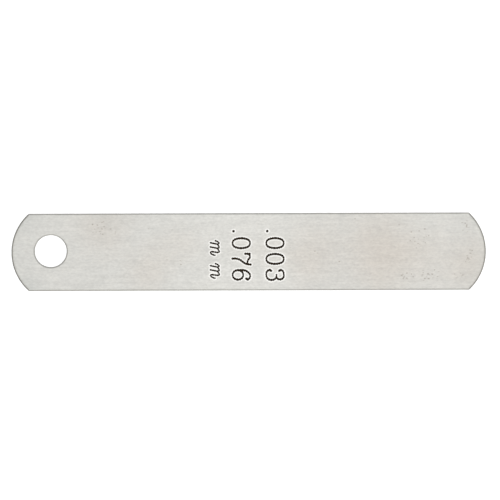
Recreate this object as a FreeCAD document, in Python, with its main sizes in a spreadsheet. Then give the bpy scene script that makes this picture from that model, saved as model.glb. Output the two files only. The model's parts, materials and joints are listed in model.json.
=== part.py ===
import FreeCAD, Part
import math
import os
import Sketcher
from FreeCAD import Rotation, Vector

# Feeler gauge leaf: one strip of hardened spring steel, 0.003 in (0.076 mm) thick, with rounded ends,
# a carrying hole near one end, and its size etched into one face.
#
# Frame: the origin is the centre of the carrying hole on the leaf's lower face. +X runs along the leaf
# to its free, measuring end, +Y runs across the leaf, and +Z points out of the marked face.
# The marking is read from the +X side: its lines run along -Y and its letters stand up along +X.

doc = FreeCAD.newDocument("feeler_gauge_leaf")

# ---- driving dimensions, in millimetres ----
SIZES = {
    "leaf_length": 78.2,
    "leaf_width": 12.7,
    "leaf_thickness": 0.0762,
    "near_end_radius": 8.5,
    "far_end_radius": 8.7,
    "edge_break": 0.01,
    "hole_diameter": 5.30,
    "hole_to_end": 6.46,
    "hole_off_centre": 0.2,
    "etch_depth": 0.012,
    "fill_depth": 0.010,
    "digit_height": 2.88,
    "digit_stroke": 0.33,
    "digit_pitch": 2.614,
    "zero_half_width": 0.82,
    "zero_end_radius": 0.68,
    "bowl_half_width": 0.78,
    "bowl_half_height": 0.87,
    "bowl_end_radius": 0.74,
    "dot_diameter": 0.44,
    "point_gap": 1.98,
    "unit_stroke": 0.25,
    "unit_pitch": 3.78,
    "inch_baseline": 35.55,
    "metric_baseline": 29.99,
    "unit_baseline": 26.33,
    "first_digit_y": 1.43,
    "first_unit_y": 0.64,
}

sheet = doc.addObject("Spreadsheet::Sheet", "Sizes")
for row, (alias, value) in enumerate(SIZES.items(), start=1):
    sheet.set(f"A{row}", alias)
    sheet.set(f"B{row}", str(value))
    sheet.setAlias(f"B{row}", alias)
doc.recompute()


def size(alias):
    """A driving dimension, read back from the sheet."""
    return float(sheet.get(alias))


# ---- the leaf blank: outline, thickness, carrying hole and broken edges ----

def base_plane(body, role):
    """One of a body's own origin planes."""
    return next(item for item in body.Origin.OriginFeatures if item.Role == role)


def sketch_on_base(body, name):
    """An empty sketch on the plane of the leaf's lower face."""
    sketch = body.newObject("Sketcher::SketchObject", name)
    sketch.AttachmentSupport = (base_plane(body, "XY_Plane"), [""])
    sketch.MapMode = "FlatFace"
    return sketch


def drive(sketch, constraint, name, expression):
    """Add a named dimension to a sketch and tie it to the sheet."""
    index = sketch.addConstraint(constraint)
    sketch.renameConstraint(index, name)
    sketch.setExpression(f"Constraints.{name}", expression)


def outline_sketch(body):
    """Two straight sides, closed at each end by an arc whose centre lies on the leaf's centre line."""
    sketch = sketch_on_base(body, "leaf_outline")
    near_radius = size("near_end_radius")
    far_radius = size("far_end_radius")
    half = size("leaf_width") / 2
    middle = -size("hole_off_centre")
    near = near_radius - size("hole_to_end")
    far = size("leaf_length") - size("hole_to_end") - far_radius
    near_corner = near - math.sqrt(near_radius**2 - half**2)
    far_corner = far + math.sqrt(far_radius**2 - half**2)
    near_swing = math.asin(half / near_radius)
    far_swing = math.asin(half / far_radius)
    up = Vector(0, 0, 1)

    left_top = Vector(near_corner, middle + half, 0)
    left_bottom = Vector(near_corner, middle - half, 0)
    right_top = Vector(far_corner, middle + half, 0)
    right_bottom = Vector(far_corner, middle - half, 0)
    top = sketch.addGeometry(Part.LineSegment(left_top, right_top), False)
    bottom = sketch.addGeometry(Part.LineSegment(left_bottom, right_bottom), False)
    near_circle = Part.Circle(Vector(near, middle, 0), up, near_radius)
    far_circle = Part.Circle(Vector(far, middle, 0), up, far_radius)
    near_arc = Part.ArcOfCircle(near_circle, math.pi - near_swing, math.pi + near_swing)
    far_arc = Part.ArcOfCircle(far_circle, -far_swing, far_swing)
    near_end = sketch.addGeometry(near_arc, False)
    far_end = sketch.addGeometry(far_arc, False)

    start, end, centre = 1, 2, 3
    origin = (-1, 1)
    for first, second in (
        ((near_end, start), (top, start)),
        ((near_end, end), (bottom, start)),
        ((far_end, start), (bottom, end)),
        ((far_end, end), (top, end)),
    ):
        sketch.addConstraint(Sketcher.Constraint("Coincident", *first, *second))
    sketch.addConstraint(Sketcher.Constraint("Horizontal", top))
    sketch.addConstraint(Sketcher.Constraint("Horizontal", bottom))

    dimension = Sketcher.Constraint
    drive(sketch, dimension("Radius", near_end, near_radius), "near_radius",
          "Sizes.near_end_radius")
    drive(sketch, dimension("Radius", far_end, far_radius), "far_radius",
          "Sizes.far_end_radius")
    drive(sketch, dimension("DistanceX", *origin, near_end, centre, near), "near_centre",
          "Sizes.near_end_radius - Sizes.hole_to_end")
    drive(sketch, dimension("DistanceX", *origin, far_end, centre, far), "far_centre",
          "Sizes.leaf_length - Sizes.hole_to_end - Sizes.far_end_radius")
    drive(sketch, dimension("DistanceY", near_end, centre, *origin, -middle), "near_offset",
          "Sizes.hole_off_centre")
    drive(sketch, dimension("DistanceY", far_end, centre, *origin, -middle), "far_offset",
          "Sizes.hole_off_centre")
    drive(sketch, dimension("DistanceY", *origin, top, start, half + middle), "top_side",
          "Sizes.leaf_width / 2 - Sizes.hole_off_centre")
    drive(sketch, dimension("DistanceY", bottom, start, *origin, half - middle), "bottom_side",
          "Sizes.leaf_width / 2 + Sizes.hole_off_centre")
    return sketch


def hole_sketch(body):
    """The carrying hole's circle, centred on the origin."""
    sketch = sketch_on_base(body, "hole_outline")
    circle = Part.Circle(Vector(0, 0, 0), Vector(0, 0, 1), size("hole_diameter") / 2)
    index = sketch.addGeometry(circle, False)
    sketch.addConstraint(Sketcher.Constraint("Coincident", index, 3, -1, 1))
    drive(sketch, Sketcher.Constraint("Diameter", index, size("hole_diameter")), "hole_size",
          "Sizes.hole_diameter")
    return sketch


def leaf_blank():
    """The plain strip, cut to length, with its hole punched and its outer edges broken."""
    body = doc.addObject("PartDesign::Body", "leaf_blank")
    pad = body.newObject("PartDesign::Pad", "strip")
    pad.Profile = outline_sketch(body)
    pad.setExpression("Length", "Sizes.leaf_thickness")
    doc.recompute()

    pocket = body.newObject("PartDesign::Pocket", "carrying_hole")
    pocket.Profile = hole_sketch(body)
    pocket.Type = "ThroughAll"
    pocket.Reversed = True
    doc.recompute()

    outer_edges = [
        f"Edge{number}"
        for number, edge in enumerate(pocket.Shape.Edges, start=1)
        if is_outline_edge(edge)
    ]
    chamfer = body.newObject("PartDesign::Chamfer", "broken_edges")
    chamfer.Base = (pocket, outer_edges)
    chamfer.setExpression("Size", "Sizes.edge_break")
    doc.recompute()
    return body


def is_outline_edge(edge):
    """An edge of the outline on the upper or lower face, not of the hole and not a corner."""
    box = edge.BoundBox
    lies_flat = box.ZLength < size("leaf_thickness") / 2
    around_hole = max(abs(box.XMin), abs(box.XMax)) < size("hole_diameter")
    return lies_flat and not around_hole


# ---- the marking's characters, as pen strokes ----
# A stroke is a list of points in a character's own frame: across from the character's centre, then up
# from the baseline, in millimetres. One point makes a round dot, and two make a straight stroke. A
# longer list makes a chain of arcs, each through three points and sharing its end point with the next.

CURVED_THREE = [
    [(-0.64, 2.10), (-0.79, 2.30), (-0.74, 2.54), (-0.47, 2.80), (-0.08, 2.86),
     (0.60, 2.68), (0.75, 2.15), (0.65, 1.86), (0.36, 1.67)],
    [(0.36, 1.67), (0.70, 1.38), (0.84, 0.95), (0.66, 0.28), (0.00, 0.00),
     (-0.50, 0.08), (-0.76, 0.36), (-0.80, 0.62), (-0.66, 0.82)],
    [(0.36, 1.67), (0.00, 1.67)],
    [(-0.70, 2.20)],
    [(-0.70, 0.70)],
]

BACK_OF_SIX = [
    [(0.60, 2.22), (0.75, 2.36), (0.76, 2.54), (0.32, 2.87), (-0.30, 2.70),
     (-0.73, 2.03), (-0.78, 1.25)],
    [(0.66, 2.35)],
]

SEVEN = [
    [(-0.87, 2.12), (-0.85, 2.80)],
    [(-0.82, 2.60), (-0.49, 2.85), (0.00, 2.66), (0.35, 2.48), (0.76, 2.46)],
    [(0.91, 2.94), (0.85, 2.50), (0.72, 2.04), (0.46, 1.68), (0.17, 1.30),
     (-0.06, 0.66), (-0.07, -0.02)],
]

SLANTED_M = [
    [(-1.20, 0.86), (-1.06, 1.18), (-0.83, 1.43), (-0.69, 1.36), (-0.64, 1.14)],
    [(-0.64, 1.14), (-0.88, 0.00)],
    [(-0.64, 1.14), (-0.42, 1.30), (-0.18, 1.47), (-0.03, 1.36), (0.03, 1.10)],
    [(0.03, 1.10), (-0.19, 0.00)],
    [(0.03, 1.10), (0.28, 1.30), (0.52, 1.48), (0.68, 1.37), (0.72, 1.16)],
    [(0.72, 1.16), (0.61, 0.35)],
    [(0.61, 0.35), (0.64, 0.09), (0.79, 0.00), (1.02, 0.26), (1.18, 0.74)],
]


def page_point(across, up):
    """A point of the text: reading runs along -Y and up the page is +X."""
    return Vector(up, -across, 0)


def stroke_wire(points):
    """The centre line of one stroke, from its list of points."""
    places = [page_point(*point) for point in points]
    if len(places) == 2:
        return Part.Wire([Part.makeLine(*places)])
    corners = range(0, len(places) - 2, 2)
    return Part.Wire([Part.Arc(*places[i:i + 3]).toShape() for i in corners])


def oval_wire(half_width, half_height, end_radius):
    """A closed oval of four smoothly joined arcs, standing on the baseline at the character's centre."""
    end_reach = half_height - end_radius
    side_radius = half_width**2 + end_reach**2 - end_radius**2
    side_radius /= 2 * (half_width - end_radius)
    lean = math.atan2(end_reach, side_radius - half_width)
    joint_across = half_width - side_radius + side_radius * math.cos(lean)
    joint_up = side_radius * math.sin(lean)

    def place(across, up):
        return page_point(across, half_height + up)

    right_bottom = place(joint_across, -joint_up)
    right_top = place(joint_across, joint_up)
    left_top = place(-joint_across, joint_up)
    left_bottom = place(-joint_across, -joint_up)
    return Part.Wire([
        Part.Arc(right_bottom, place(half_width, 0), right_top).toShape(),
        Part.Arc(right_top, place(0, half_height), left_top).toShape(),
        Part.Arc(left_top, place(-half_width, 0), left_bottom).toShape(),
        Part.Arc(left_bottom, place(0, -half_height), right_bottom).toShape(),
    ])


def stroke_area(points, width):
    """The flat area a round pen of this width covers along an open stroke, or a dot's."""
    if len(points) == 1:
        return dot(*points[0])
    wire = stroke_wire(points)
    if len(points) == 2:
        return straight_band(wire, width)
    return Part.Face(wire.makeOffset2D(width / 2, 0, False, False, False))


def dot(across, up):
    """A round dot, broader than a stroke."""
    circle = Part.makeCircle(size("dot_diameter") / 2, page_point(across, up))
    return Part.Face(Part.Wire([circle]))


def straight_band(wire, width):
    """A straight pen stroke with round ends."""
    first, last = (vertex.Point for vertex in wire.Vertexes)
    along = (last - first).normalize() * (width / 2)
    side = Vector(-along.y, along.x, 0)
    return Part.Face(Part.Wire([
        Part.makeLine(first + side, last + side),
        Part.Arc(last + side, last + along, last - side).toShape(),
        Part.makeLine(last - side, first - side),
        Part.Arc(first - side, first - along, first + side).toShape(),
    ]))


def ring_band(wire, width):
    """The flat ring a round pen of this width covers along a closed stroke."""
    outer = Part.Face(wire.makeOffset2D(width / 2))
    inner = Part.Face(wire.makeOffset2D(-width / 2))
    return outer.cut(inner)


def zero(width):
    oval = oval_wire(size("zero_half_width"), size("digit_height") / 2, size("zero_end_radius"))
    return [ring_band(oval, width)]


def six(width):
    bowl = oval_wire(size("bowl_half_width"), size("bowl_half_height"), size("bowl_end_radius"))
    return [ring_band(bowl, width)] + pen(BACK_OF_SIX, width)


def pen(strokes, width):
    return [stroke_area(points, width) for points in strokes]


def decimal_point():
    """The point before the first digit, just above the baseline."""
    return dot(-size("point_gap"), size("digit_stroke") / 2)


def line_of_text(characters, pitch):
    """The areas of a line's characters, the first one centred on the line's own origin."""
    areas = []
    for place, character in enumerate(characters):
        for area in character:
            area.translate(page_point(place * pitch, 0))
            areas.append(area)
    return areas


def raised(areas, depth):
    """The areas extruded by a depth and joined where the strokes meet."""
    solids = [area.extrude(Vector(0, 0, depth)) for area in areas]
    joined = solids[0].multiFuse(solids[1:]) if len(solids) > 1 else solids[0]
    return joined.removeSplitter()


def marking(name, areas, baseline, first_y):
    """One line of the marking: the dark fill, and the etched recess it lies in."""
    middle = -size("hole_off_centre")
    floor = size("leaf_thickness") - size("etch_depth")
    placement = FreeCAD.Placement(Vector(size(baseline), middle + size(first_y), floor), Rotation())
    recess = doc.addObject("Part::Feature", f"{name}_recess")
    recess.Shape = raised(areas, 2 * size("etch_depth"))
    recess.Placement = placement
    fill = doc.addObject("Part::Feature", name)
    fill.Label = name
    fill.Shape = raised(areas, size("fill_depth"))
    fill.Placement = placement
    return recess, fill


def inch_line():
    """The thickness in inches: .003"""
    width = size("digit_stroke")
    characters = [zero(width), zero(width), pen(CURVED_THREE, width)]
    areas = line_of_text(characters, size("digit_pitch")) + [decimal_point()]
    return marking("inch_size_marking", areas, "inch_baseline", "first_digit_y")


def metric_line():
    """The thickness in millimetres: .076"""
    width = size("digit_stroke")
    characters = [zero(width), pen(SEVEN, width), six(width)]
    areas = line_of_text(characters, size("digit_pitch")) + [decimal_point()]
    return marking("metric_size_marking", areas, "metric_baseline", "first_digit_y")


def unit_line():
    """The metric line's unit, in a thinner slanted letter: m m"""
    width = size("unit_stroke")
    characters = [pen(SLANTED_M, width), pen(SLANTED_M, width)]
    areas = line_of_text(characters, size("unit_pitch"))
    return marking("unit_marking", areas, "unit_baseline", "first_unit_y")


# ---- the finished parts ----

def etched_leaf(blank, recesses):
    """The leaf blank with the three lines of the marking etched into its upper face."""
    pattern = doc.addObject("Part::MultiFuse", "etch_pattern")
    pattern.Shapes = recesses
    leaf = doc.addObject("Part::Cut", "leaf")
    leaf.Base = blank
    leaf.Tool = pattern
    leaf.Label = "leaf"
    doc.recompute()
    return leaf


def check_objects():
    """Stop if any object of the document failed or holds a faulty shape."""
    for item in doc.Objects:
        faults = {"Invalid", "Error"} & set(item.State)
        if faults:
            raise RuntimeError(f"{item.Name}: {sorted(faults)}")
        shape = getattr(item, "Shape", None)
        if shape is not None and (shape.isNull() or not shape.isValid()):
            raise RuntimeError(f"{item.Name}: faulty shape")


blank = leaf_blank()
lines = [inch_line(), metric_line(), unit_line()]
leaf = etched_leaf(blank, [recess for recess, fill in lines])
check_objects()

os.makedirs("parts", exist_ok=True)
for node in [leaf] + [fill for recess, fill in lines]:
    node.Shape.exportStep(f"parts/{node.Label}.step")
    box = node.Shape.BoundBox
    print(node.Label, "solids", len(node.Shape.Solids), "volume", round(node.Shape.Volume, 5),
          "x", round(box.XMin, 4), round(box.XMax, 4), "y", round(box.YMin, 4), round(box.YMax, 4),
          "z", round(box.ZMin, 4), round(box.ZMax, 4))
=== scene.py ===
"""A feeler gauge leaf: bright rolled steel, a punched hole, and a dark etched size marking.

The leaf's own frame is used throughout: the origin is the centre of the carrying hole on the lower
face, +X runs to the free end, +Z comes out of the marked face. Lengths below are in millimetres until
a mesh is made from them. A point on the leaf is a complex number, x + y*1j, while a shape is planned.
"""
import cmath
import json
import math
import random

import bpy
import numpy as np
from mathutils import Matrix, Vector
from mathutils.geometry import delaunay_2d_cdt


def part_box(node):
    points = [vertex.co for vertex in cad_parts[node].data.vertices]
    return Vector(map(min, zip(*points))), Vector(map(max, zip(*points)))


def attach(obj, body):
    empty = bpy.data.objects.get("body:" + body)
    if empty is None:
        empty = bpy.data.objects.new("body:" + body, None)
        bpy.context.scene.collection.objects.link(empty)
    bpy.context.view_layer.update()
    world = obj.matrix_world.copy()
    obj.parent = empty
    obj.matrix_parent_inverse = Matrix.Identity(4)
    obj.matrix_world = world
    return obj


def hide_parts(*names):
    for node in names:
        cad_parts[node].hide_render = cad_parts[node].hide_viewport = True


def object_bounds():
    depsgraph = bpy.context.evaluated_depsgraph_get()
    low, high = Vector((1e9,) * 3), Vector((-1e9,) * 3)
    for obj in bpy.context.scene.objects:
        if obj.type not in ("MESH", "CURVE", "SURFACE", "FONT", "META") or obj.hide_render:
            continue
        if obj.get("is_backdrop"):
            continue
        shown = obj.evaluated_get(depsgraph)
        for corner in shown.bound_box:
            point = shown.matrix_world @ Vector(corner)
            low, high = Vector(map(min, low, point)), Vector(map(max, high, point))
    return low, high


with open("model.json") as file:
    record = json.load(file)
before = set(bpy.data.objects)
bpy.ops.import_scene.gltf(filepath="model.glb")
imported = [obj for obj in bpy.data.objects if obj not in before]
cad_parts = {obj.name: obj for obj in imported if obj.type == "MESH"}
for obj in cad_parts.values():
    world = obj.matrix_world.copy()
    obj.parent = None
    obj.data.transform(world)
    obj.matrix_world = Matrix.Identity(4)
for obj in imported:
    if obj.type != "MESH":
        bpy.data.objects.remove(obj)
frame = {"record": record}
cad_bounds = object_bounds()

MM = 0.001
rng = random.Random(7)

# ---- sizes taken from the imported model, in millimetres ----

leaf_low, leaf_high = (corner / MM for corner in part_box("leaf"))
hole = next(m for m in frame["record"]["mounts"] if m["name"] == "carrying_hole")
HOLE_RADIUS = hole["dims"]["r_mm"]
THICKNESS = leaf_high.z - leaf_low.z
HALF_WIDTH = (leaf_high.y - leaf_low.y) / 2
CENTRE_LINE = (leaf_high.y + leaf_low.y) / 2
fill_low, fill_high = (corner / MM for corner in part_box("inch_size_marking"))
FILL_FLOOR = fill_low.z
FILL_TOP = fill_high.z

# ---- sizes that the model's outline and marking are drawn from, as in the CAD part ----

NEAR_RADIUS = 8.5
FAR_RADIUS = 8.7
NEAR_CENTRE = complex(leaf_low.x + NEAR_RADIUS, CENTRE_LINE)
FAR_CENTRE = complex(leaf_high.x - FAR_RADIUS, CENTRE_LINE)
DIGIT_HEIGHT = 2.88
DIGIT_STROKE = 0.33
DIGIT_PITCH = 2.614
ZERO_HALF_WIDTH = 0.82
ZERO_END_RADIUS = 0.68
BOWL_HALF_WIDTH = 0.78
BOWL_HALF_HEIGHT = 0.87
BOWL_END_RADIUS = 0.74
DOT_DIAMETER = 0.44
POINT_GAP = 1.98
UNIT_STROKE = 0.25
UNIT_PITCH = 3.78
INCH_BASELINE = 35.55
METRIC_BASELINE = 29.99
UNIT_BASELINE = 26.33
FIRST_DIGIT_Y = CENTRE_LINE + 1.43
FIRST_UNIT_Y = CENTRE_LINE + 0.64

# ---- the etched strokes' finer shape: widths as shares of the stroke, the rest in millimetres ----

THIN_STROKE = 0.80
BROAD_STROKE = 1.10
BEAD_DEPTH = 0.18
BEAD_PITCH = 0.35
# The pale halo round each stroke is a painted highlight, a band of colour brighter than the bare steel.
# It is full out to the first margin and gone at the second.
HALO_STEPS = (0.12, 0.27)

# ---- fineness of the mesh ----

OUTLINE_STEP = 0.15
STROKE_STEP = 0.05
FACE_STEP = 1.1
DOT_SIDES = 20
TIP_STEPS = 6
WELD_DISTANCE = 1e-5
SLIVER_TRIANGLES = 3

# ---- the leaf's edges ----

# The leaf's edge in section, from the lower face round to the upper: how far in from the outline, how
# high, and how much painted edge shade each ring carries, on the sheared ends and on the sides. The shade
# is a dark colour that stands in for the darker room that the rolled edge reflects. The same number also
# makes the edge a little rougher, which is real dullness. The hole's edge has the same section, and
# carries what the section gives the sides.
EDGE_SECTION = [
    (0.500, 0.0000, 0.00, 0.00),
    (0.260, 0.0000, 0.10, 0.00),
    (0.060, 0.0015, 0.60, 0.42),
    (0.012, 0.0080, 1.00, 0.74),
    (0.000, 0.0220, 1.00, 0.74),
    (0.000, THICKNESS - 0.0260, 1.00, 0.74),
    (0.012, THICKNESS - 0.0130, 1.00, 0.74),
    (0.055, THICKNESS - 0.0055, 1.00, 0.74),
    (0.130, THICKNESS - 0.0016, 0.65, 0.42),
    (0.260, THICKNESS, 0.12, 0.00),
    (0.500, THICKNESS, 0.00, 0.00),
]

# How much more or less painted edge shade each side carries beside what the section says, set by how
# unevenly the lights fall on the two sides: the one towards -Y, and the one towards +Y.
FRONT_SIDE_SHADE = 1.14
BACK_SIDE_SHADE = 0.92


# ---- plan shapes ----

def leaf_outline(inset):
    """The outline, moved in by an inset: two sides and two end arcs, anticlockwise from the near end."""
    half = HALF_WIDTH - inset
    near_radius = NEAR_RADIUS - inset
    far_radius = FAR_RADIUS - inset
    near_swing = math.asin(half / near_radius)
    far_swing = math.asin(half / far_radius)
    near_corner = NEAR_CENTRE.real - near_radius * math.cos(near_swing)
    far_corner = FAR_CENTRE.real + far_radius * math.cos(far_swing)
    arc_steps = round(2 * NEAR_RADIUS * math.asin(HALF_WIDTH / NEAR_RADIUS) / OUTLINE_STEP)
    side_steps = round((FAR_CENTRE.real - NEAR_CENTRE.real) / FACE_STEP)
    points = []
    for i in range(arc_steps):
        turn = math.pi - near_swing + 2 * near_swing * i / arc_steps
        points.append(NEAR_CENTRE + cmath.rect(near_radius, turn))
    for i in range(side_steps):
        x = near_corner + (far_corner - near_corner) * i / side_steps
        points.append(complex(x, CENTRE_LINE - half))
    for i in range(arc_steps):
        turn = -far_swing + 2 * far_swing * i / arc_steps
        points.append(FAR_CENTRE + cmath.rect(far_radius, turn))
    for i in range(side_steps):
        x = far_corner - (far_corner - near_corner) * i / side_steps
        points.append(complex(x, CENTRE_LINE + half))
    return points


def hole_outline(inset):
    """The hole's circle, moved out into the metal by an inset, clockwise."""
    steps = round(2 * math.pi * HOLE_RADIUS / OUTLINE_STEP)
    return [cmath.rect(HOLE_RADIUS + inset, -2 * math.pi * i / steps) for i in range(steps)]


# ---- the marking's characters, as pen strokes ----
# A stroke is a list of points in a character's own frame: across from the character's centre plus
# up from the baseline times 1j. One point makes a round dot, and two make a straight stroke. A longer
# list makes a chain of arcs, each through three points and sharing its end point with the next.

THREE = [
    [-0.64 + 2.10j, -0.79 + 2.30j, -0.74 + 2.54j, -0.47 + 2.80j, -0.08 + 2.86j,
     0.60 + 2.68j, 0.75 + 2.15j, 0.65 + 1.86j, 0.36 + 1.67j],
    [0.36 + 1.67j, 0.70 + 1.38j, 0.84 + 0.95j, 0.66 + 0.28j, 0.00 + 0.00j,
     -0.50 + 0.08j, -0.76 + 0.36j, -0.80 + 0.62j, -0.66 + 0.82j],
    [0.36 + 1.67j, 0.00 + 1.67j],
    [-0.70 + 2.20j],
    [-0.70 + 0.70j],
]

BACK_OF_SIX = [
    [0.60 + 2.22j, 0.75 + 2.36j, 0.76 + 2.54j, 0.32 + 2.87j, -0.30 + 2.70j,
     -0.73 + 2.03j, -0.78 + 1.25j],
    [0.66 + 2.35j],
]

SEVEN = [
    [-0.87 + 2.12j, -0.85 + 2.80j],
    [-0.82 + 2.60j, -0.49 + 2.85j, 0.00 + 2.66j, 0.35 + 2.48j, 0.76 + 2.46j],
    [0.91 + 2.94j, 0.85 + 2.50j, 0.72 + 2.04j, 0.46 + 1.68j, 0.17 + 1.30j,
     -0.06 + 0.66j, -0.07 - 0.02j],
]

SLANTED_M = [
    [-1.20 + 0.86j, -1.06 + 1.18j, -0.83 + 1.43j, -0.69 + 1.36j, -0.64 + 1.14j],
    [-0.64 + 1.14j, -0.88 + 0.00j],
    [-0.64 + 1.14j, -0.42 + 1.30j, -0.18 + 1.47j, -0.03 + 1.36j, 0.03 + 1.10j],
    [0.03 + 1.10j, -0.19 + 0.00j],
    [0.03 + 1.10j, 0.28 + 1.30j, 0.52 + 1.48j, 0.68 + 1.37j, 0.72 + 1.16j],
    [0.72 + 1.16j, 0.61 + 0.35j],
    [0.61 + 0.35j, 0.64 + 0.09j, 0.79 + 0.00j, 1.02 + 0.26j, 1.18 + 0.74j],
]


def arc(first, middle, last, step):
    """Points along the arc through three points, from the first up to but not including the last."""
    ratio = (last - first) / (middle - first)
    if abs(ratio.imag) < 1e-6:
        return line(first, last, step)
    centre = first - (first - middle) * (ratio - abs(ratio) ** 2) / (2j * ratio.imag)
    spoke = first - centre
    sweep = cmath.phase((last - centre) / spoke)
    halfway = cmath.phase((middle - centre) / spoke)
    if sweep * halfway < 0 or abs(sweep) < abs(halfway):
        sweep -= math.copysign(2 * math.pi, sweep)
    count = max(2, round(abs(sweep) * abs(spoke) / step))
    return [centre + spoke * cmath.rect(1, sweep * i / count) for i in range(count)]


def line(first, last, step):
    """Points along a straight line, up to but not including the last."""
    count = max(2, round(abs(last - first) / step))
    return [first + (last - first) * i / count for i in range(count)]


def stroke_path(points):
    """A stroke's centre line as closely spaced points."""
    path = []
    if len(points) == 2:
        path = line(*points, STROKE_STEP)
    for i in range(0, len(points) - 2, 2):
        path += arc(*points[i:i + 3], STROKE_STEP)
    return path + [points[-1]]


def oval_strokes(half_width, half_height, end_radius):
    """A closed oval of four smoothly joined arcs, standing on the baseline, as two half strokes."""
    end_reach = half_height - end_radius
    side_radius = half_width**2 + end_reach**2 - end_radius**2
    side_radius /= 2 * (half_width - end_radius)
    side_centre = half_width - side_radius
    lean = math.atan2(end_reach, -side_centre)
    side = side_centre + cmath.rect(side_radius, lean / 2)
    joint = side_centre + cmath.rect(side_radius, lean)
    shoulder = end_reach * 1j + cmath.rect(end_radius, (lean + math.pi / 2) / 2)
    quarter = [complex(half_width), side, joint, shoulder, half_height * 1j]
    upper = quarter + [-point.conjugate() for point in reversed(quarter[:-1])]
    centre = half_height * 1j
    return [[centre + point for point in upper], [centre - point for point in upper]]


ZERO = oval_strokes(ZERO_HALF_WIDTH, DIGIT_HEIGHT / 2, ZERO_END_RADIUS)
SIX = oval_strokes(BOWL_HALF_WIDTH, BOWL_HALF_HEIGHT, BOWL_END_RADIUS) + BACK_OF_SIX


def band(path, width, margin=0.0):
    """The outline of a pen stroke and a margin round it, anticlockwise from its first point.

    The pen is broader up and down the page than across it, and the etch leaves its sides faintly
    beaded. A path of one point gives a dot.
    """
    if len(path) == 1:
        radius = DOT_DIAMETER / 2 + margin
        step = 2 * math.pi / DOT_SIDES
        return [path[0] + cmath.rect(radius, i * step) for i in range(DOT_SIDES)]
    left, right = [], []
    run = 0.0
    for i, point in enumerate(path):
        ahead = path[min(i + 1, len(path) - 1)] - path[max(i - 1, 0)]
        side = 1j * ahead / abs(ahead)
        run += abs(point - path[max(i - 1, 0)])
        heft = THIN_STROKE + (BROAD_STROKE - THIN_STROKE) * abs(side.imag)
        bead = 1 + BEAD_DEPTH * math.cos(2 * math.pi * run / BEAD_PITCH)
        half = width / 2 * heft * bead + margin
        left.append(point + side * half)
        right.append(point - side * half)
    turns = [cmath.rect(1, math.pi * i / TIP_STEPS) for i in range(1, TIP_STEPS)]
    tip = [path[-1] + (right[-1] - path[-1]) * turn for turn in turns]
    tail = [path[0] + (left[0] - path[0]) * turn for turn in turns]
    return right + tip + left[::-1] + tail


class Marking:
    """One line of the marking: its strokes' centre lines, placed on the leaf."""

    def __init__(self, name, baseline, first_y, width):
        self.name = name
        self.origin = complex(baseline, first_y)
        self.width = width
        self.paths = []

    def add(self, character, across):
        """Place a character. Reading runs along -Y and up the page is +X."""
        for stroke in character:
            path = [self.origin - 1j * (across + point) for point in stroke_path(stroke)]
            self.paths.append(path)

    def bands(self, margin=0.0):
        return [band(path, self.width, margin) for path in self.paths]


def markings():
    inch = Marking("inch_size_marking", INCH_BASELINE, FIRST_DIGIT_Y, DIGIT_STROKE)
    metric = Marking("metric_size_marking", METRIC_BASELINE, FIRST_DIGIT_Y, DIGIT_STROKE)
    unit = Marking("unit_marking", UNIT_BASELINE, FIRST_UNIT_Y, UNIT_STROKE)
    for place, character in enumerate([ZERO, ZERO, THREE]):
        inch.add(character, place * DIGIT_PITCH)
    for place, character in enumerate([ZERO, SEVEN, SIX]):
        metric.add(character, place * DIGIT_PITCH)
    for place in range(2):
        unit.add(SLANTED_M, place * UNIT_PITCH)
    for marking in (inch, metric):
        marking.add([[DIGIT_STROKE / 2 * 1j]], -POINT_GAP)
    return [inch, metric, unit]


# ---- marks of handling: clusters of small dark specks in the bright face ----
# Each cluster is (middle, reach along the leaf, reach across it, number of specks).

SPECK_CLUSTERS = [
    (8.6 + 4.0j, 2.6, 1.7, 20),
    (60.9 + 2.0j, 2.1, 1.8, 18),
    (58.7 - 4.3j, 1.4, 0.8, 11),
    (62.3 - 4.0j, 2.0, 1.1, 20),
    (67.4 - 4.1j, 1.2, 0.7, 6),
    (69.0 - 1.4j, 0.7, 1.7, 16),
    (68.6 + 4.0j, 0.8, 1.5, 10),
    (57.5 + 4.2j, 0.1, 0.1, 1),
    (50.2 + 5.2j, 0.1, 0.1, 1),
    (18.0 + 0.0j, 5.0, 4.6, 5),
    (45.0 + 0.5j, 6.0, 4.6, 4),
]


def scattered_specks():
    """Every speck as (place, length, width, strength), thickest near its cluster's middle."""
    specks = []
    for middle, along, across, count in SPECK_CLUSTERS:
        for _ in range(count):
            offset = complex(rng.triangular(-along, along), rng.triangular(-across, across))
            length = rng.uniform(0.22, 0.50)
            width = rng.uniform(0.18, 0.36)
            specks.append((middle + offset, length, width, rng.uniform(0.30, 0.90)))
    return specks


def speck_value(point, specks):
    """How much a place on the face is marked by specks, from 0 to 1."""
    value = 0.0
    for place, length, width, strength in specks:
        away = point - place
        reach = math.hypot(away.real / length, away.imag / width) * 2
        value = max(value, strength * max(0.0, 1 - reach))
    return value


def speck_points(specks):
    """Loose points at each speck's middle and round it, so that it has faces of its own."""
    points = []
    for place, length, width, strength in specks:
        points.append(place)
        for reach in (0.5, 1.0):
            for i in range(8):
                turn = cmath.rect(reach / 2, i * math.pi / 4)
                points.append(place + complex(turn.real * length, turn.imag * width))
    return points


# ---- mesh building ----

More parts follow.
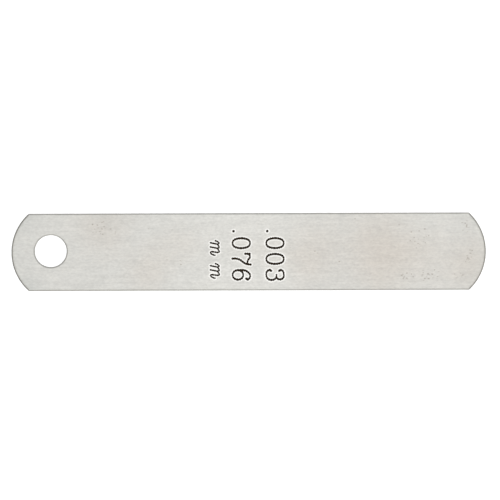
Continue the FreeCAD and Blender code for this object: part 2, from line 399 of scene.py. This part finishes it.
class MeshPlan:
    """Vertices and faces under construction. A vertex at a place already used is used again."""

    def __init__(self):
        self.numbers = {}
        self.places = []
        self.faces = []
        self.edge_shade_and_dullness = {}

    def vertex(self, point, height, edge_shade_and_dullness=0.0):
        key = (round(point.real, 4), round(point.imag, 4), round(height, 4))
        number = self.numbers.setdefault(key, len(self.places))
        if number == len(self.places):
            self.places.append((point.real, point.imag, height))
        self.edge_shade_and_dullness[number] = max(edge_shade_and_dullness, self.edge_shade_and_dullness.get(number, 0.0))
        return number

    def face(self, corners):
        """A face, unless two of its corners are one vertex."""
        if len(set(corners)) == len(corners):
            self.faces.append(corners)

    def rings(self, loops):
        """Faces between closed loops of (point, height, painted edge shade and dullness) that have as
        many points each.
        """
        numbered = [[self.vertex(*place) for place in loop] for loop in loops]
        for below, above in zip(numbered, numbered[1:]):
            for i in range(len(below)):
                self.face([below[i - 1], below[i], above[i], above[i - 1]])

    def mesh(self, name):
        mesh = bpy.data.meshes.new(name)
        mesh.from_pydata([Vector(place) * MM for place in self.places], [], self.faces)
        mesh.validate()
        mesh.update()
        return mesh


def patches(triangles):
    """The triangles in patches that hold together edge to edge."""
    beside = {}
    for number, triangle in enumerate(triangles):
        for i in range(3):
            beside.setdefault(frozenset((triangle[i - 1], triangle[i])), []).append(number)
    left = set(range(len(triangles)))
    while left:
        patch = []
        reached = [left.pop()]
        while reached:
            triangle = triangles[reached.pop()]
            patch.append(triangle)
            for i in range(3):
                found = left.intersection(beside[frozenset((triangle[i - 1], triangle[i]))])
                left -= found
                reached += sorted(found)
        yield patch


class FacePlan:
    """The leaf's face cut into triangles that follow the outline, the hole and the marking's bands.

    Slivers of bare metal shut in by a stroke's tight bends are etched away with the stroke.
    """

    def __init__(self, lines, loose_points):
        inset = EDGE_SECTION[-1][0]
        loops = [leaf_outline(inset), hole_outline(inset)[::-1]]
        names = [None, None]
        for marking in lines:
            bands = marking.bands()
            painted_halos = [painted_halo for step in HALO_STEPS for painted_halo in marking.bands(step)]
            loops += bands + painted_halos
            names += [marking.name] * len(bands) + [None] * len(painted_halos)
        corners = [point for loop in loops for point in loop] + loose_points
        places = [Vector((point.real, point.imag)) for point in corners]
        faces, first = [], 0
        for loop in loops:
            faces.append(list(range(first, first + len(loop))))
            first += len(loop)
        made = delaunay_2d_cdt(places, [], faces, 0, WELD_DISTANCE, True)
        points, _, triangles, sources, _, owners = made
        self.points = [
            corners[source[0]] if source else complex(*point)
            for point, source in zip(points, sources)
        ]
        bare = []
        self.etched = {marking.name: [] for marking in lines}
        for triangle, owner in zip(triangles, owners):
            inside = set(owner)
            if 0 not in inside or 1 in inside:
                continue
            marks = [names[i] for i in sorted(inside) if names[i]]
            if marks:
                self.etched[marks[0]].append(triangle)
            else:
                bare.append(triangle)
        self.metal = []
        for patch in patches(bare):
            if len(patch) > SLIVER_TRIANGLES:
                self.metal += patch
                continue
            corner = self.points[patch[0][0]]
            marking = min(lines, key=lambda line: stroke_gap([corner], [line])[0])
            self.etched[marking.name] += patch

    def border(self, triangles):
        """The edges that only one of these triangles has, each with the triangle on its left."""
        edges = {(t[i - 1], t[i]) for t in triangles for i in range(3)}
        return [(a, b) for a, b in edges if (b, a) not in edges]


def face_grid(lines):
    """Loose points spread over the leaf's face, clear of its outline, its hole and the marking."""
    margin = EDGE_SECTION[-1][0] + FACE_STEP / 2
    columns = round((leaf_high.x - leaf_low.x) / FACE_STEP)
    rows = round(2 * HALF_WIDTH / FACE_STEP)
    points = []
    for column in range(1, columns):
        for row in range(1, rows):
            shift = FACE_STEP / 2 * (column % 2)
            point = complex(leaf_low.x + column * FACE_STEP, leaf_low.y + row * FACE_STEP + shift)
            if inside_face(point, margin):
                points.append(point)
    if lines:
        gaps = stroke_gap(points, lines)
        points = [point for point, gap in zip(points, gaps) if gap > 2 * HALO_STEPS[-1]]
    return points


def inside_face(point, margin):
    """True for a point of the leaf's face that keeps a margin from the outline and the hole."""
    return (
        abs(point.imag - CENTRE_LINE) < HALF_WIDTH - margin
        and (point.real > NEAR_CENTRE.real or abs(point - NEAR_CENTRE) < NEAR_RADIUS - margin)
        and (point.real < FAR_CENTRE.real or abs(point - FAR_CENTRE) < FAR_RADIUS - margin)
        and abs(point) > HOLE_RADIUS + margin
    )


def stroke_gap(points, lines):
    """How far each point is from the edge of the nearest stroke, in millimetres."""
    centres, halves = [], []
    for marking in lines:
        for path in marking.paths:
            half = marking.width / 2 if len(path) > 1 else DOT_DIAMETER / 2
            centres += path
            halves += [half] * len(path)
    centres, halves = np.array(centres), np.array(halves)
    return [float(np.min(np.abs(centres - point) - halves)) for point in points]


def edge_ring(inset, height, end_shade_and_dullness, side_shade_and_dullness):
    """One ring of the leaf's outer edge, as (point, height, painted edge shade and dullness)."""
    side = HALF_WIDTH - inset - 1e-6
    ring = []
    for point in leaf_outline(inset):
        across = point.imag - CENTRE_LINE
        edge_shade_and_dullness = end_shade_and_dullness
        # Painted shade: each side's edge is darkened by its own factor, set by how the light falls on
        # that side.
        if across > side:
            edge_shade_and_dullness = side_shade_and_dullness * BACK_SIDE_SHADE
        if across < -side:
            edge_shade_and_dullness = side_shade_and_dullness * FRONT_SIDE_SHADE
        ring.append((point, height, edge_shade_and_dullness))
    return ring


def hole_ring(inset, height, edge_shade_and_dullness):
    """One ring of the hole's edge, as (point, height, painted edge shade and dullness)."""
    return [(point, height, edge_shade_and_dullness) for point in hole_outline(inset)]


def leaf_mesh(plan, lines, specks):
    """The leaf as one closed skin: both faces, the rolled-over edges, and the etched recesses."""
    leaf = MeshPlan()
    leaf.rings([edge_ring(*ring) for ring in EDGE_SECTION])
    leaf.rings([hole_ring(inset, height, edge_shade_and_dullness) for inset, height, _, edge_shade_and_dullness in EDGE_SECTION])
    for triangle in plan.metal:
        leaf.face([leaf.vertex(plan.points[i], THICKNESS) for i in triangle])
    for triangles in plan.etched.values():
        for triangle in triangles:
            leaf.face([leaf.vertex(plan.points[i], FILL_FLOOR) for i in triangle])
    etched = [triangle for triangles in plan.etched.values() for triangle in triangles]
    for a, b in plan.border(etched):
        leaf.face([
            leaf.vertex(plan.points[b], FILL_FLOOR),
            leaf.vertex(plan.points[a], FILL_FLOOR),
            leaf.vertex(plan.points[a], THICKNESS),
            leaf.vertex(plan.points[b], THICKNESS),
        ])
    under = FacePlan([], face_grid([]))
    for triangle in under.metal:
        leaf.face([leaf.vertex(under.points[i], 0.0) for i in reversed(triangle)])

    mesh = leaf.mesh("leaf")
    flat = [complex(x, y) for x, y, z in leaf.places]
    upper = [z > THICKNESS / 2 for x, y, z in leaf.places]
    gaps = stroke_gap(flat, lines)
    # The painted highlight round the strokes: its strength at each vertex, on the upper face only.
    fade = HALO_STEPS[1] - HALO_STEPS[0]
    painted_halos = [min(1.0, max(0.0, (HALO_STEPS[1] - gap) / fade)) * up for gap, up in zip(gaps, upper)]
    marks = [speck_value(point, specks) * up for point, up in zip(flat, upper)]
    add_attribute(mesh, "edge_shade_and_dullness", [leaf.edge_shade_and_dullness[i] for i in range(len(leaf.places))])
    add_attribute(mesh, "painted_halo", painted_halos)
    add_attribute(mesh, "speck", marks)
    for polygon in mesh.polygons:
        polygon.use_smooth = any(leaf.edge_shade_and_dullness[i] > 0 for i in polygon.vertices)
    return mesh


def fill_mesh(plan, name):
    """The dark layer in one line of the marking, as closed slabs a little below the leaf's face."""
    fill = MeshPlan()
    triangles = plan.etched[name]
    for triangle in triangles:
        fill.face([fill.vertex(plan.points[i], FILL_TOP) for i in triangle])
        fill.face([fill.vertex(plan.points[i], FILL_FLOOR) for i in reversed(triangle)])
    for a, b in plan.border(triangles):
        fill.face([
            fill.vertex(plan.points[a], FILL_FLOOR),
            fill.vertex(plan.points[b], FILL_FLOOR),
            fill.vertex(plan.points[b], FILL_TOP),
            fill.vertex(plan.points[a], FILL_TOP),
        ])
    return fill.mesh(name)


def add_attribute(mesh, name, values):
    layer = mesh.attributes.new(name, "FLOAT", "POINT")
    layer.data.foreach_set("value", values)


# ---- materials ----

class Nodes:
    """Short calls for building one material's node tree."""

    def __init__(self, name):
        self.material = bpy.data.materials.new(name)
        self.material.use_nodes = True
        self.tree = self.material.node_tree
        self.shader = self.tree.nodes["Principled BSDF"]
        self.place = self.add("ShaderNodeTexCoord").outputs["Object"]

    def add(self, kind, **settings):
        node = self.tree.nodes.new(kind)
        for key, value in settings.items():
            setattr(node, key, value)
        return node

    def put(self, value, socket):
        """Join a node's output to a socket, or set the socket to a plain value."""
        if isinstance(value, bpy.types.NodeSocket):
            self.tree.links.new(value, socket)
        else:
            socket.default_value = value

    def math(self, operation, first, second):
        node = self.add("ShaderNodeMath", operation=operation)
        self.put(first, node.inputs[0])
        self.put(second, node.inputs[1])
        return node.outputs[0]

    def attribute(self, name):
        return self.add("ShaderNodeAttribute", attribute_name=name).outputs["Fac"]

    def stretched(self, per_mm, centre=(0, 0, 0)):
        """The place on the leaf in millimetres from a centre, times a number for each axis."""
        node = self.add("ShaderNodeMapping")
        scale = [number / MM for number in per_mm]
        node.inputs["Location"].default_value = [-c * n for c, n in zip(centre, per_mm)]
        node.inputs["Scale"].default_value = scale
        self.put(self.place, node.inputs["Vector"])
        return node.outputs["Vector"]

    def millimetres(self, axis):
        """One coordinate of the place on the leaf, in millimetres."""
        spread = self.add("ShaderNodeSeparateXYZ")
        self.put(self.stretched((1, 1, 1)), spread.inputs[0])
        return spread.outputs[axis]

    def noise(self, per_mm, detail=2.0, roughness=0.5):
        """Smooth noise around 0, running from about -0.5 to 0.5, with this many waves per millimetre."""
        node = self.add("ShaderNodeTexNoise", noise_dimensions="3D")
        node.inputs["Scale"].default_value = 1.0
        node.inputs["Detail"].default_value = detail
        node.inputs["Roughness"].default_value = roughness
        self.put(self.stretched(per_mm), node.inputs["Vector"])
        return self.math("SUBTRACT", node.outputs["Fac"], 0.5)

    def stains(self, patches):
        """Soft oval patches added up, each at its strength in the middle and 0 from its reach outward."""
        total = 0.0
        for x, y, along, across, strength in patches:
            per_mm = (1 / along, 1 / across, 0.0)
            gradient = self.add("ShaderNodeTexGradient", gradient_type="SPHERICAL")
            self.put(self.stretched(per_mm, (x, y, 0.0)), gradient.inputs["Vector"])
            fade = self.add("ShaderNodeMapRange", interpolation_type="SMOOTHSTEP")
            self.put(gradient.outputs["Fac"], fade.inputs["Value"])
            self.put(strength, fade.inputs["To Max"])
            total = self.math("ADD", total, fade.outputs["Result"])
        return total

    def mix(self, factor, first, second, blend="MIX"):
        """Two colours mixed. The node's sockets 6 and 7 are its colours."""
        node = self.add("ShaderNodeMix", data_type="RGBA", blend_type=blend)
        self.put(factor, node.inputs["Factor"])
        self.put(first, node.inputs[6])
        self.put(second, node.inputs[7])
        return node.outputs[2]

    def sum(self, base, *terms):
        """base plus each (amount, signal) pair."""
        total = base
        for amount, signal in terms:
            total = self.math("ADD", self.math("MULTIPLY", signal, amount), total)
        return total


def shade(level):
    """A neutral colour of this brightness."""
    return (level, level, level, 1.0)


def steel_colour_with_painted_shading(nodes):
    """The steel's colour with painted shading: the slow change of reflected brightness from the hole end
    to the free end, painted into the colour.
    """
    reach = nodes.add("ShaderNodeMapRange")
    nodes.put(nodes.millimetres("X"), reach.inputs["Value"])
    nodes.put(leaf_low.x, reach.inputs["From Min"])
    nodes.put(leaf_high.x, reach.inputs["From Max"])
    ramp = nodes.add("ShaderNodeValToRGB")
    ramp.color_ramp.interpolation = "B_SPLINE"
    stops = [
        (0.00, 0.746),
        (0.10, 0.726),
        (0.22, 0.728),
        (0.36, 0.742),
        (0.48, 0.765),
        (0.56, 0.750),
        (0.66, 0.706),
        (0.78, 0.698),
        (0.90, 0.713),
        (1.00, 0.652),
    ]
    elements = ramp.color_ramp.elements
    while len(elements) < len(stops):
        elements.new(0.5)
    for element, (place, level) in zip(elements, stops):
        element.position = place
        element.color = (level, 0.990 * level, 0.940 * level, 1.0)
    nodes.put(reach.outputs["Result"], ramp.inputs["Fac"])
    return ramp.outputs["Color"]


# Old stains on the bright face: (middle x, middle y, reach along, reach across, strength).

BROWN_STAINS = [
    (8.5, 3.8, 7.5, 7.0, 0.55),
    (16.0, -3.0, 6.5, 6.5, 0.50),
    (21.0, 1.0, 7.0, 4.5, 0.35),
    (35.0, 0.0, 9.0, 4.0, 0.25),
    (42.0, -1.2, 6.0, 7.0, 0.45),
    (48.0, 0.0, 12.0, 11.0, 0.42),
    (55.5, -0.6, 8.0, 11.0, 0.84),
    (63.0, -2.5, 9.0, 7.0, 0.35),
    (62.0, 1.2, 7.0, 5.0, 0.30),
    (69.5, -2.0, 6.0, 8.0, 0.55),
]
GREY_STAINS = [
    (-4.4, -6.4, 5.0, 4.5, 1.00),
    (-4.6, 6.0, 4.5, 4.5, 0.74),
    (-5.5, 0.0, 5.0, 8.0, 0.25),
    (8.5, 5.5, 5.0, 4.0, 0.20),
    (55.5, 0.5, 5.0, 5.0, 0.15),
]


def steel():
    """Bright cold-rolled spring steel: satin, with a fine lengthwise grain and a few handling marks."""
    nodes = Nodes("rolled_spring_steel")
    cloud = nodes.noise((0.16, 0.22, 0.22), detail=3.0, roughness=0.55)
    mottle = nodes.noise((0.55, 0.8, 0.8), detail=4.0, roughness=0.6)
    grain = nodes.noise((2.0, 3.6, 3.6), detail=2.0, roughness=0.6)
    lines = nodes.noise((0.16, 4.5, 4.5), detail=3.0, roughness=0.6)
    slope = (0.003, nodes.millimetres("Y"))
    level = nodes.sum(1.0, slope, (0.04, cloud), (0.08, mottle), (0.27, grain), (0.14, lines))
    # Painted shading: the steel's colour carries the change of reflected brightness along the leaf.
    shaded_steel = nodes.mix(1.0, steel_colour_with_painted_shading(nodes), level, "MULTIPLY")

    brown = nodes.sum(nodes.stains(BROWN_STAINS), (0.40, cloud), (0.50, mottle))
    browned = nodes.mix(brown, shaded_steel, (0.959, 0.911, 0.877, 1.0), "MULTIPLY")
    grey = nodes.sum(nodes.stains(GREY_STAINS), (0.30, mottle))
    stained = nodes.mix(grey, browned, (0.885, 0.900, 0.905, 1.0), "MULTIPLY")
    # Painted highlight: a pale halo round each stroke, brighter than the bare steel.
    with_painted_halo = nodes.mix(nodes.attribute("painted_halo"), stained, (1.0, 0.99, 0.955, 1.0))
    specked = nodes.mix(nodes.attribute("speck"), with_painted_halo, (0.34, 0.30, 0.25, 1.0))
    # Painted shade: the edges' dark outline, from the darker room that the rolled edges reflect, painted
    # into the colour as near-black. The same mask raises the roughness below.
    edge_shaded = nodes.mix(nodes.attribute("edge_shade_and_dullness"), specked, (0.12, 0.115, 0.095, 1.0))
    nodes.put(edge_shaded, nodes.shader.inputs["Base Color"])

    nodes.shader.inputs["Metallic"].default_value = 1.0
    dulled = (0.12, nodes.attribute("edge_shade_and_dullness"))
    roughness = nodes.sum(0.36, (0.10, mottle), (0.12, grain), (0.10, lines), dulled)
    nodes.put(roughness, nodes.shader.inputs["Roughness"])

    relief = nodes.sum(0.0, (1.0, lines), (0.6, grain))
    bump = nodes.add("ShaderNodeBump")
    bump.inputs["Strength"].default_value = 0.6
    bump.inputs["Distance"].default_value = 0.0006 * MM
    nodes.put(relief, bump.inputs["Height"])
    nodes.put(bump.outputs["Normal"], nodes.shader.inputs["Normal"])
    return nodes.material


def etch_fill():
    """The matt near-black layer in the etched characters, a little uneven."""
    nodes = Nodes("etched_black")
    blotch = nodes.noise((3.0, 3.0, 3.0), detail=3.0, roughness=0.7)
    dark, brown = (0.006, 0.0035, 0.001, 1.0), (0.030, 0.018, 0.006, 1.0)
    colour = nodes.mix(nodes.sum(0.35, (1.2, blotch)), dark, brown)
    nodes.put(colour, nodes.shader.inputs["Base Color"])
    nodes.put(nodes.sum(0.62, (0.3, blotch)), nodes.shader.inputs["Roughness"])
    nodes.shader.inputs["Specular IOR Level"].default_value = 0.1
    bump = nodes.add("ShaderNodeBump")
    bump.inputs["Strength"].default_value = 0.5
    bump.inputs["Distance"].default_value = 0.004 * MM
    nodes.put(blotch, bump.inputs["Height"])
    nodes.put(bump.outputs["Normal"], nodes.shader.inputs["Normal"])
    return nodes.material


def floor_paper():
    """Plain white paper."""
    nodes = Nodes("white_paper")
    tooth = nodes.noise((0.4, 0.4, 0.4), detail=3.0)
    colour = nodes.mix(nodes.sum(0.5, (0.5, tooth)), shade(0.90), shade(0.94))
    nodes.put(colour, nodes.shader.inputs["Base Color"])
    nodes.shader.inputs["Roughness"].default_value = 0.9
    nodes.shader.inputs["Specular IOR Level"].default_value = 0.1
    return nodes.material


# ---- the pieces ----

def piece(mesh, node, material):
    """A mesh that stands for a CAD node and rides on the row's one body."""
    obj = bpy.data.objects.new(node + "_skin", mesh)
    bpy.context.scene.collection.objects.link(obj)
    mesh.materials.append(material)
    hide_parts(node)
    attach(obj, "root")
    return obj


lines = markings()
specks = scattered_specks()
plan = FacePlan(lines, face_grid(lines) + speck_points(specks))
piece(leaf_mesh(plan, lines, specks), "leaf", steel())
black = etch_fill()
for marking in lines:
    piece(fill_mesh(plan, marking.name), marking.name, black)


# ---- the stage: white floor, soft light from above, camera straight down ----

def floor():
    """A white floor just under the leaf."""
    half, drop = 2.5, 0.00002
    mesh = bpy.data.meshes.new("floor")
    corners = [(-half, -half, -drop), (half, -half, -drop), (half, half, -drop), (-half, half, -drop)]
    mesh.from_pydata(corners, [], [(0, 1, 2, 3)])
    mesh.materials.append(floor_paper())
    obj = bpy.data.objects.new("floor", mesh)
    bpy.context.scene.collection.objects.link(obj)
    obj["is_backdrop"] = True


def soft_light(name, place, target, width, height, radiance):
    """A rectangular soft light that faces a target, as bright as a surface of this radiance."""
    light = bpy.data.lights.new(name, "AREA")
    light.shape = "RECTANGLE"
    light.size = width
    light.size_y = height
    light.energy = radiance * math.pi * width * height
    obj = bpy.data.objects.new(name, light)
    obj.location = place
    obj.rotation_euler = (Vector(target) - Vector(place)).to_track_quat("-Z", "Y").to_euler()
    bpy.context.scene.collection.objects.link(obj)


def surroundings():
    """A pale grey room, a little darker overhead."""
    world = bpy.data.worlds.new("pale_room")
    world.use_nodes = True
    tree = world.node_tree
    place = tree.nodes.new("ShaderNodeTexCoord")
    spread = tree.nodes.new("ShaderNodeSeparateXYZ")
    ramp = tree.nodes.new("ShaderNodeValToRGB")
    ramp.color_ramp.elements[0].position = 0.0
    ramp.color_ramp.elements[0].color = shade(0.57)
    ramp.color_ramp.elements[1].position = 0.75
    ramp.color_ramp.elements[1].color = shade(0.545)
    tree.links.new(place.outputs["Generated"], spread.inputs[0])
    tree.links.new(spread.outputs["Z"], ramp.inputs["Fac"])
    tree.links.new(ramp.outputs["Color"], tree.nodes["Background"].inputs["Color"])
    bpy.context.scene.world = world


def camera():
    """A long lens looking straight down, framed on the leaf's middle and turned by a hair."""
    data = bpy.data.cameras.new("camera")
    data.lens = 120.0
    data.sensor_width = 36.0
    frame_width = 0.08247
    obj = bpy.data.objects.new("camera", data)
    height = frame_width * data.lens / data.sensor_width
    obj.location = (32.865 * MM, 0.103 * MM, height + THICKNESS * MM)
    obj.rotation_euler = (0.0, 0.0, math.radians(-0.18))
    data.clip_start = 0.01
    bpy.context.scene.collection.objects.link(obj)
    bpy.context.scene.camera = obj


middle = (0.033, 0.0, 0.0)
floor()
soft_light("overhead_softbox", (0.033, 0.0, 0.62), middle, 0.9, 0.8, 0.25)
soft_light("right_window", (1.40, 0.0, 1.44), middle, 2.4, 1.0, 2.0)
soft_light("front_window", (0.033, -1.24, 1.44), middle, 2.4, 1.0, 3.4)
surroundings()
camera()
bpy.context.scene.view_settings.view_transform = "Standard"

visual_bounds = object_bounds()
boxes = {"cad": cad_bounds, "visual": visual_bounds}
{name: [list(corner) for corner in box] for name, box in boxes.items()}
